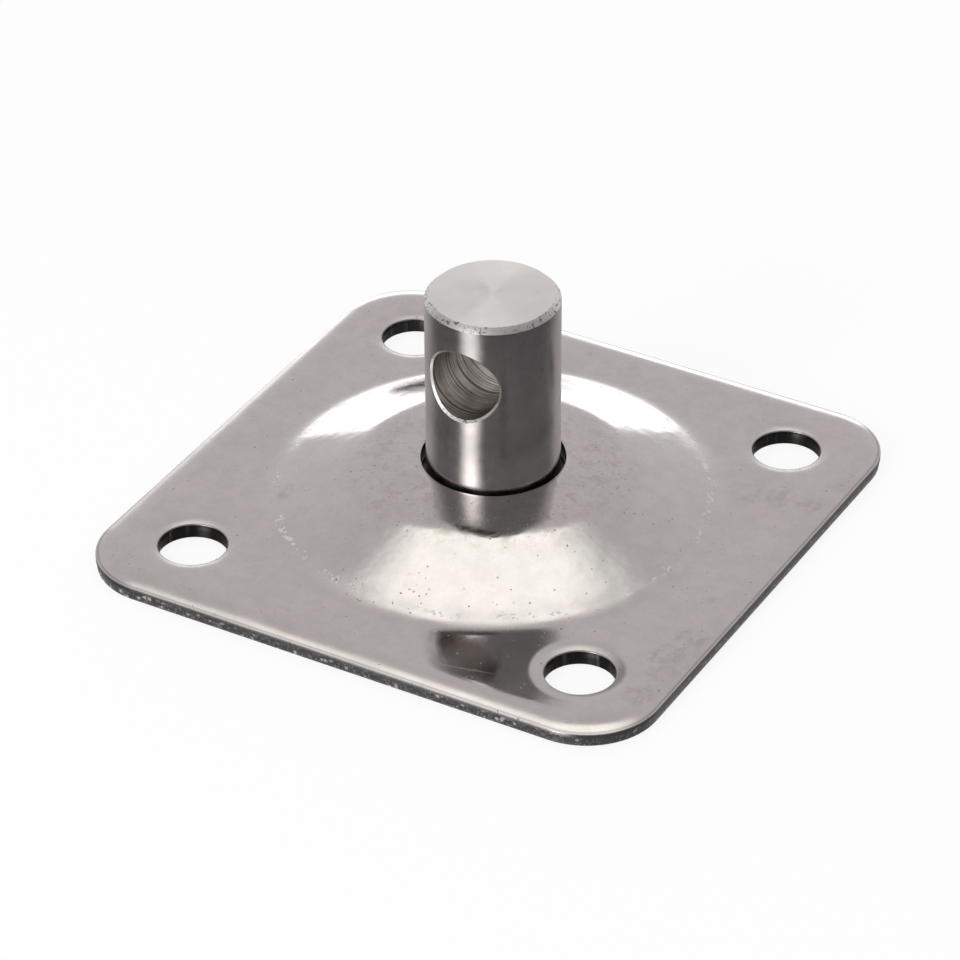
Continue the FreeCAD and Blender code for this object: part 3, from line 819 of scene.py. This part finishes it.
def faced_metal():
    """The faced top: marks round its centre that spread light into a bow tie; its lighter tone and two
    lighter sectors are painted light.
    """
    def marks(s):
        radius = s.vector("LENGTH", s.level())
        rings = s.noise(0.06, 6, s.add("ShaderNodeCombineXYZ", {0: radius}).outputs[0], detail=1.0)
        return s.times(s.math("SUBTRACT", rings, 0.5), 0.0008)
    # Painted light: the top's base tone is set lighter than the shaft's, as light falling on it from above
    s, colour, rough, around, normal, spread = turned_metal(
        "faced_top", (tint(0.79, 0.78, 0.762), tint(0.84, 0.83, 0.81)), (0.30, 0.38), 0.75, marks, 8)
    # Painted glint: two lighter sectors fixed in the top's colour stand for the bow tie that the facing marks
    # throw
    toward = s.vector("NORMALIZE", s.level())
    along = s.math("ABSOLUTE", s.vector("DOT_PRODUCT", toward, GLINT_SECTOR_DIRECTION))
    broken = s.fade(s.noise(1.6, 17, detail=3.0), 0.35, 0.65, 0.3, 1.0)
    painted_glint = s.times(s.fade(along, 0.84, 0.96), broken)
    colour = s.mix(s.times(painted_glint, 0.55), colour, tint(0.90, 0.895, 0.87))
    gap, own = s.cells(0.7, 9)
    speck = s.times(s.fade(gap, 0.05, 0.13, 1.0, 0.0), s.math("LESS_THAN", own, 0.09))
    colour = s.mix(s.times(speck, 0.45), colour, tint(0.4, 0.37, 0.34))
    ragged = s.math("SUBTRACT", s.noise(0.5, 11, detail=4.0), 0.5)
    stain = s.math("MAXIMUM", s.spot(-0.9, 0.2, 0.05, 0.55, s.times(ragged, 3.0)),
                   s.times(s.spot(-0.6, 0.0, 0.1, 1.1, s.times(ragged, 3.0)), 0.4))
    colour = s.mix(s.times(stain, 0.16), colour, tint(0.45, 0.39, 0.34))
    return s.finish(Base_Color=colour, Metallic=1.0, Roughness=rough, Normal=normal,
                    Anisotropic=spread, Anisotropic_Rotation=0.25, Tangent=around)


def chamfer_metal():
    """The broken edges of the post: a bright colour that paints their highlight, rubbed and flecked."""
    s = Shader("broken_edge")
    grain = s.noise(0.26, 12, detail=3.0, roughness=0.65)
    # Painted highlight: the edges' base tone is set well above the shaft's
    colour = s.mix(s.fade(grain, 0.54, 0.63), tint(0.84, 0.83, 0.82), tint(0.26, 0.25, 0.25))
    return s.finish(Base_Color=colour, Metallic=1.0, Roughness=0.42, Normal=s.bump(s.times(grain, 0.02)))


def bored_metal():
    """The cross hole's wall: brownish, with coarse rings left by the drill."""
    s = Shader("drilled_bore")
    rings = s.noise(1.0, 13, s.turned(0.0, (8.0, 0.14, 8.0)), detail=2.0)
    cloud = s.fade(s.noise(1.2, 14, detail=3.0), 0.35, 0.65)
    colour = s.mix(cloud, tint(0.50, 0.462, 0.43), tint(0.70, 0.67, 0.635))
    colour = s.mix(s.fade(rings, 0.48, 0.62), colour, tint(0.19, 0.17, 0.155))
    normal = s.bump(s.times(rings, 0.03))
    return s.finish(Base_Color=colour, Metallic=1.0, Roughness=0.34, Normal=normal)


def head_metal():
    """The head, hidden under the dome: plainly turned."""
    s = Shader("turned_head")
    radius = s.vector("LENGTH", s.level())
    rings = s.noise(0.12, 15, s.add("ShaderNodeCombineXYZ", {0: radius}).outputs[0], detail=1.0)
    cloud = s.fade(s.noise(2.4, 16, detail=3.0), 0.35, 0.65)
    colour = s.mix(cloud, tint(0.52, 0.51, 0.50), tint(0.60, 0.59, 0.58))
    return s.finish(Base_Color=colour, Metallic=1.0, Roughness=0.3, Normal=s.bump(s.times(rings, 0.003)))


# Camera, fitted to the photograph's outlines: an image of 960 by 960 pixels with a focal
# length of 5024 pixels, aimed past the origin by the offsets
CAMERA_AZIMUTH = 0.5203
CAMERA_ELEVATION = 0.5972
CAMERA_ROLL = -0.0057
CAMERA_DISTANCE = 407.99
CAMERA_RIGHT = -1.09
CAMERA_UP = 2.395
FOCAL_PIXELS = 5024.0
IMAGE_PIXELS = 960.0
SENSOR = 36.0

FRONT = Vector((math.sin(CAMERA_AZIMUTH), -math.cos(CAMERA_AZIMUTH), 0))
RIGHT = Vector((math.cos(CAMERA_AZIMUTH), math.sin(CAMERA_AZIMUTH), 0))
UPWARD = Vector((0, 0, 1))


def make_camera():
    back = FRONT * math.cos(CAMERA_ELEVATION) + UPWARD * math.sin(CAMERA_ELEVATION)
    up = back.cross(RIGHT)
    right_rolled = RIGHT * math.cos(CAMERA_ROLL) + up * math.sin(CAMERA_ROLL)
    up_rolled = up * math.cos(CAMERA_ROLL) - RIGHT * math.sin(CAMERA_ROLL)
    place = back * CAMERA_DISTANCE + RIGHT * CAMERA_RIGHT + up * CAMERA_UP
    data = bpy.data.cameras.new("camera")
    data.sensor_width = SENSOR
    data.lens = SENSOR * FOCAL_PIXELS / IMAGE_PIXELS
    data.clip_start = 0.01
    data.clip_end = 20.0
    camera = bpy.data.objects.new("camera", data)
    turn = Matrix((right_rolled, up_rolled, back)).transposed().to_4x4()
    camera.matrix_world = Matrix.Translation(place * METRE) @ turn
    bpy.context.scene.collection.objects.link(camera)
    bpy.context.scene.camera = camera


def area_lamp(name, place, aim, size, softness, radiance, colour, upward=UPWARD):
    """A rectangular softbox that looks from a place towards an aim, and fades towards its edges.

    softness holds the share of the width and of the height over which it fades at each end.
    """
    data = bpy.data.lights.new(name, "AREA")
    data.shape = "RECTANGLE"
    data.size, data.size_y = size
    data.energy = 4 * size[0] * size[1] * radiance
    data.color = colour
    data.use_nodes = True
    tree = data.node_tree
    across_up = tree.nodes.new("ShaderNodeSeparateXYZ")
    tree.links.new(tree.nodes.new("ShaderNodeNewGeometry").outputs["Parametric"], across_up.inputs[0])
    strength = None
    for axis, share in enumerate(softness):
        for low, high in ((0.0, share), (1.0, 1.0 - share)):
            fade = tree.nodes.new("ShaderNodeMapRange")
            fade.interpolation_type = "SMOOTHSTEP"
            fade.inputs["From Min"].default_value = low
            fade.inputs["From Max"].default_value = high
            tree.links.new(across_up.outputs[axis], fade.inputs["Value"])
            if strength is None:
                strength = fade.outputs[0]
                continue
            product = tree.nodes.new("ShaderNodeMath")
            product.operation = "MULTIPLY"
            tree.links.new(strength, product.inputs[0])
            tree.links.new(fade.outputs[0], product.inputs[1])
            strength = product.outputs[0]
    tree.links.new(strength, tree.nodes["Emission"].inputs["Strength"])
    lamp = bpy.data.objects.new(name, data)
    back = (place - aim).normalized()
    across = upward.cross(back).normalized()
    up = back.cross(across)
    turn = Matrix((across, up, back)).transposed().to_4x4()
    lamp.matrix_world = Matrix.Translation(place) @ turn
    bpy.context.scene.collection.objects.link(lamp)


# Lamps: sizes and places in metres, as seen from the camera's side
SOFTBOX_HEIGHT = 0.7
SOFTBOX_LEFT, SOFTBOX_RIGHT = -0.46, 0.415
SOFTBOX_NEAR, SOFTBOX_FAR = -0.075, 0.365
SOFTBOX_SOFTNESS = (0.3, 0.28)
SOFTBOX_RADIANCE, SOFTBOX_TINT = 0.79, (0.98, 0.99, 0.90)
KEY_AZIMUTH, KEY_ELEVATION, KEY_DISTANCE = math.radians(-38.5), math.radians(24), 0.7
KEY_SIZE, KEY_SOFTNESS = (0.52, 0.60), (0.45, 0.12)
KEY_RADIANCE, KEY_TINT = 2.8, (1.0, 0.985, 0.96)


def make_lamps():
    """An overhead softbox that reaches back from above the object, and a key at front left."""
    middle = (RIGHT * (SOFTBOX_LEFT + SOFTBOX_RIGHT) - FRONT * (SOFTBOX_NEAR + SOFTBOX_FAR)) / 2
    size = (SOFTBOX_RIGHT - SOFTBOX_LEFT, SOFTBOX_FAR - SOFTBOX_NEAR)
    area_lamp("overhead_softbox", middle + UPWARD * SOFTBOX_HEIGHT, middle, size, SOFTBOX_SOFTNESS,
              SOFTBOX_RADIANCE, SOFTBOX_TINT, upward=-FRONT)
    level = FRONT * math.cos(KEY_AZIMUTH) + RIGHT * math.sin(KEY_AZIMUTH)
    place = level * math.cos(KEY_ELEVATION) + UPWARD * math.sin(KEY_ELEVATION)
    area_lamp("front_left_key", place * KEY_DISTANCE, Vector((0, 0, 0)), KEY_SIZE, KEY_SOFTNESS,
              KEY_RADIANCE, KEY_TINT)


# Room: its brightness, and how much brighter the white card behind is
ROOM_LEVEL = 1.8
CARD_GAIN = 1.42


def make_world():
    """White card low behind, grey walls, dim room on the camera's side; white to the camera."""
    world = bpy.data.worlds.new("studio")
    world.use_nodes = True
    bpy.context.scene.world = world
    tree = world.node_tree
    tree.nodes.clear()

    def add(kind, inputs=None, **settings):
        node = tree.nodes.new(kind)
        for name, value in settings.items():
            setattr(node, name, value)
        for name, value in (inputs or {}).items():
            if isinstance(value, bpy.types.NodeSocket):
                tree.links.new(value, node.inputs[name])
            else:
                node.inputs[name].default_value = value
        return node

    toward = add("ShaderNodeTexCoord").outputs["Generated"]
    height = add("ShaderNodeSeparateXYZ", {0: toward}).outputs[2]
    facing = add("ShaderNodeVectorMath", {0: toward, 1: FRONT}, operation="DOT_PRODUCT")
    front = facing.outputs["Value"]

    def ramp(stops):
        node = add("ShaderNodeValToRGB", {0: height})
        band = node.color_ramp
        band.elements[0].position, band.elements[0].color = stops[0][0], tint(*stops[0][1:])
        band.elements[1].position, band.elements[1].color = stops[-1][0], tint(*stops[-1][1:])
        for position, *shade in stops[1:-1]:
            band.elements.new(position).color = tint(*shade)
        return node.outputs[0]

    def fade(value, low, high):
        inputs = {"Value": value, "From Min": low, "From Max": high}
        return add("ShaderNodeMapRange", inputs, interpolation_type="SMOOTHSTEP").outputs[0]

    def blend(factor, first, second):
        node = add("ShaderNodeMix", data_type="RGBA")
        for number, value in ((0, factor), (6, first), (7, second)):
            tree.links.new(value, node.inputs[number])
        return node.outputs[2]

    card = ramp(((0.0, 0.97), (0.13, 0.95), (0.19, 0.32, 0.308, 0.31), (1.0, 0.277)))
    walls = ramp(((0.0, 0.44, 0.43, 0.43), (0.2, 0.405, 0.39, 0.393), (0.56, 0.385, 0.368, 0.370),
                  (0.8, 0.36, 0.345, 0.345), (1.0, 0.36, 0.345, 0.345)))
    before = ramp(((0.0, 0.13, 0.126, 0.128), (0.3, 0.14, 0.136, 0.138), (1.0, 0.15, 0.147, 0.15)))
    card = add("ShaderNodeVectorMath", {0: card, "Scale": CARD_GAIN}, operation="SCALE").outputs[0]
    behind = blend(fade(front, -0.970, -0.945), card, walls)
    raised = add("ShaderNodeMath", {0: height, 1: 0.56}, operation="SUBTRACT").outputs[0]
    overhead = add("ShaderNodeMath", {0: raised, 1: 0.0}, operation="MAXIMUM").outputs[0]
    forward = add("ShaderNodeMath", {0: overhead, 1: -0.9, 2: front}, operation="MULTIPLY_ADD").outputs[0]
    room = blend(fade(forward, -0.65, -0.2), behind, before)
    lit = add("ShaderNodeBackground", {"Color": room, "Strength": ROOM_LEVEL})
    white = add("ShaderNodeBackground", {"Color": tint(1.0), "Strength": 1.0})
    rays = add("ShaderNodeLightPath").outputs
    shown = {0: rays["Is Camera Ray"], 1: lit.outputs[0], 2: white.outputs[0]}
    either = add("ShaderNodeMixShader", shown)
    add("ShaderNodeOutputWorld", {"Surface": either.outputs[0]})


# Floor, in metres: just under the deck face, and more mirror-like behind than in front
FLOOR_DIP = 0.00002
FLOOR_SIZE = 6.0
FLOOR_GREY = 0.2
FLOOR_GLOW = 0.86
FLOOR_POLISH_FRONT, FLOOR_POLISH_BEHIND = 0.4, 0.95
FLOOR_ROUGHNESS = 0.12


def make_floor():
    """A pale floor that keeps a soft shadow and mirrors the room.

    It is clear from below, and to what the plate's own underside mirrors.
    """
    half = FLOOR_SIZE / 2
    mesh = bpy.data.meshes.new("floor")
    square = ((-half, -half), (half, -half), (half, half), (-half, half))
    mesh.from_pydata([(x, y, -FLOOR_DIP) for x, y in square], [], [(0, 1, 2, 3)])
    floor = bpy.data.objects.new("floor", mesh)
    bpy.context.scene.collection.objects.link(floor)
    material = bpy.data.materials.new("pale_floor")
    material.use_nodes = True
    tree = material.node_tree
    tree.nodes.clear()

    def add(kind, **inputs):
        node = tree.nodes.new(kind)
        for name, value in inputs.items():
            node.inputs[name].default_value = value
        return node

    def join(kind, factor, first, second):
        node = tree.nodes.new(kind)
        outputs = (factor, first, second) if factor else (first, second)
        for socket, output in zip(node.inputs, outputs):
            tree.links.new(output, socket)
        return node.outputs[0]

    rays = add("ShaderNodeLightPath").outputs
    diffuse = add("ShaderNodeBsdfDiffuse", Color=tint(FLOOR_GREY)).outputs[0]
    glow = add("ShaderNodeEmission", Color=tint(FLOOR_GLOW))
    tree.links.new(rays["Is Camera Ray"], glow.inputs["Strength"])
    pale = join("ShaderNodeAddShader", None, diffuse, glow.outputs[0])
    place = add("ShaderNodeNewGeometry")
    front = tree.nodes.new("ShaderNodeVectorMath")
    front.operation = "DOT_PRODUCT"
    tree.links.new(place.outputs["Position"], front.inputs[0])
    front.inputs[1].default_value = FRONT
    turn = {"From Min": -0.01, "From Max": -0.05}
    share = add("ShaderNodeMapRange", **turn, **{"To Min": FLOOR_POLISH_FRONT, "To Max": FLOOR_POLISH_BEHIND})
    tree.links.new(front.outputs["Value"], share.inputs["Value"])
    polish = add("ShaderNodeBsdfAnisotropic", Roughness=FLOOR_ROUGHNESS)
    tree.links.new(share.outputs[0], polish.inputs["Color"])
    clear = add("ShaderNodeBsdfTransparent").outputs[0]

    def vector(operation, value, other=(0.0, 0.0, 0.0)):
        node = tree.nodes.new("ShaderNodeVectorMath")
        node.operation = operation
        tree.links.new(value, node.inputs[0])
        node.inputs[1].default_value = other
        return node.outputs["Value" if operation in ("LENGTH", "DISTANCE") else "Vector"]

    def compare(operation, value, limit):
        node = tree.nodes.new("ShaderNodeMath")
        node.operation = operation
        tree.links.new(value, node.inputs[0])
        node.inputs[1].default_value = limit
        return node.outputs[0]

    straight = (HALF_SIDE - CORNER_RADIUS) * METRE
    pitch = HALF_PITCH * METRE
    folded = vector("ABSOLUTE", place.outputs["Position"])
    beyond = vector("MAXIMUM", vector("SUBTRACT", folded, (straight, straight, 0.0)))
    inside = compare("LESS_THAN", vector("LENGTH", beyond), CORNER_RADIUS * METRE)
    from_hole = vector("DISTANCE", folded, (pitch, pitch, 0.0))
    off_holes = compare("GREATER_THAN", from_hole, FIXING_RADIUS * METRE)
    covered = tree.nodes.new("ShaderNodeMath")
    covered.operation = "MULTIPLY"
    tree.links.new(inside, covered.inputs[0])
    tree.links.new(off_holes, covered.inputs[1])
    polished = join("ShaderNodeMixShader", covered.outputs[0], polish.outputs[0], clear)
    above = join("ShaderNodeMixShader", rays["Is Glossy Ray"], pale, polished)
    below = add("ShaderNodeNewGeometry").outputs["Backfacing"]
    surface = join("ShaderNodeMixShader", below, above, clear)
    tree.links.new(surface, add("ShaderNodeOutputMaterial").inputs["Surface"])
    mesh.materials.append(material)


make_camera()
make_lamps()
make_world()
make_floor()

plate = make_plate([sheet_skin(), sheared_wall(), punched_wall()])
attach(plate, "base")
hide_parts("base_plate")

post = make_post([shaft_metal(), chamfer_metal(), faced_metal(), bored_metal(), head_metal()])
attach(post, "post")
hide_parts("swivel_post")

bpy.context.scene.view_settings.view_transform = "Standard"
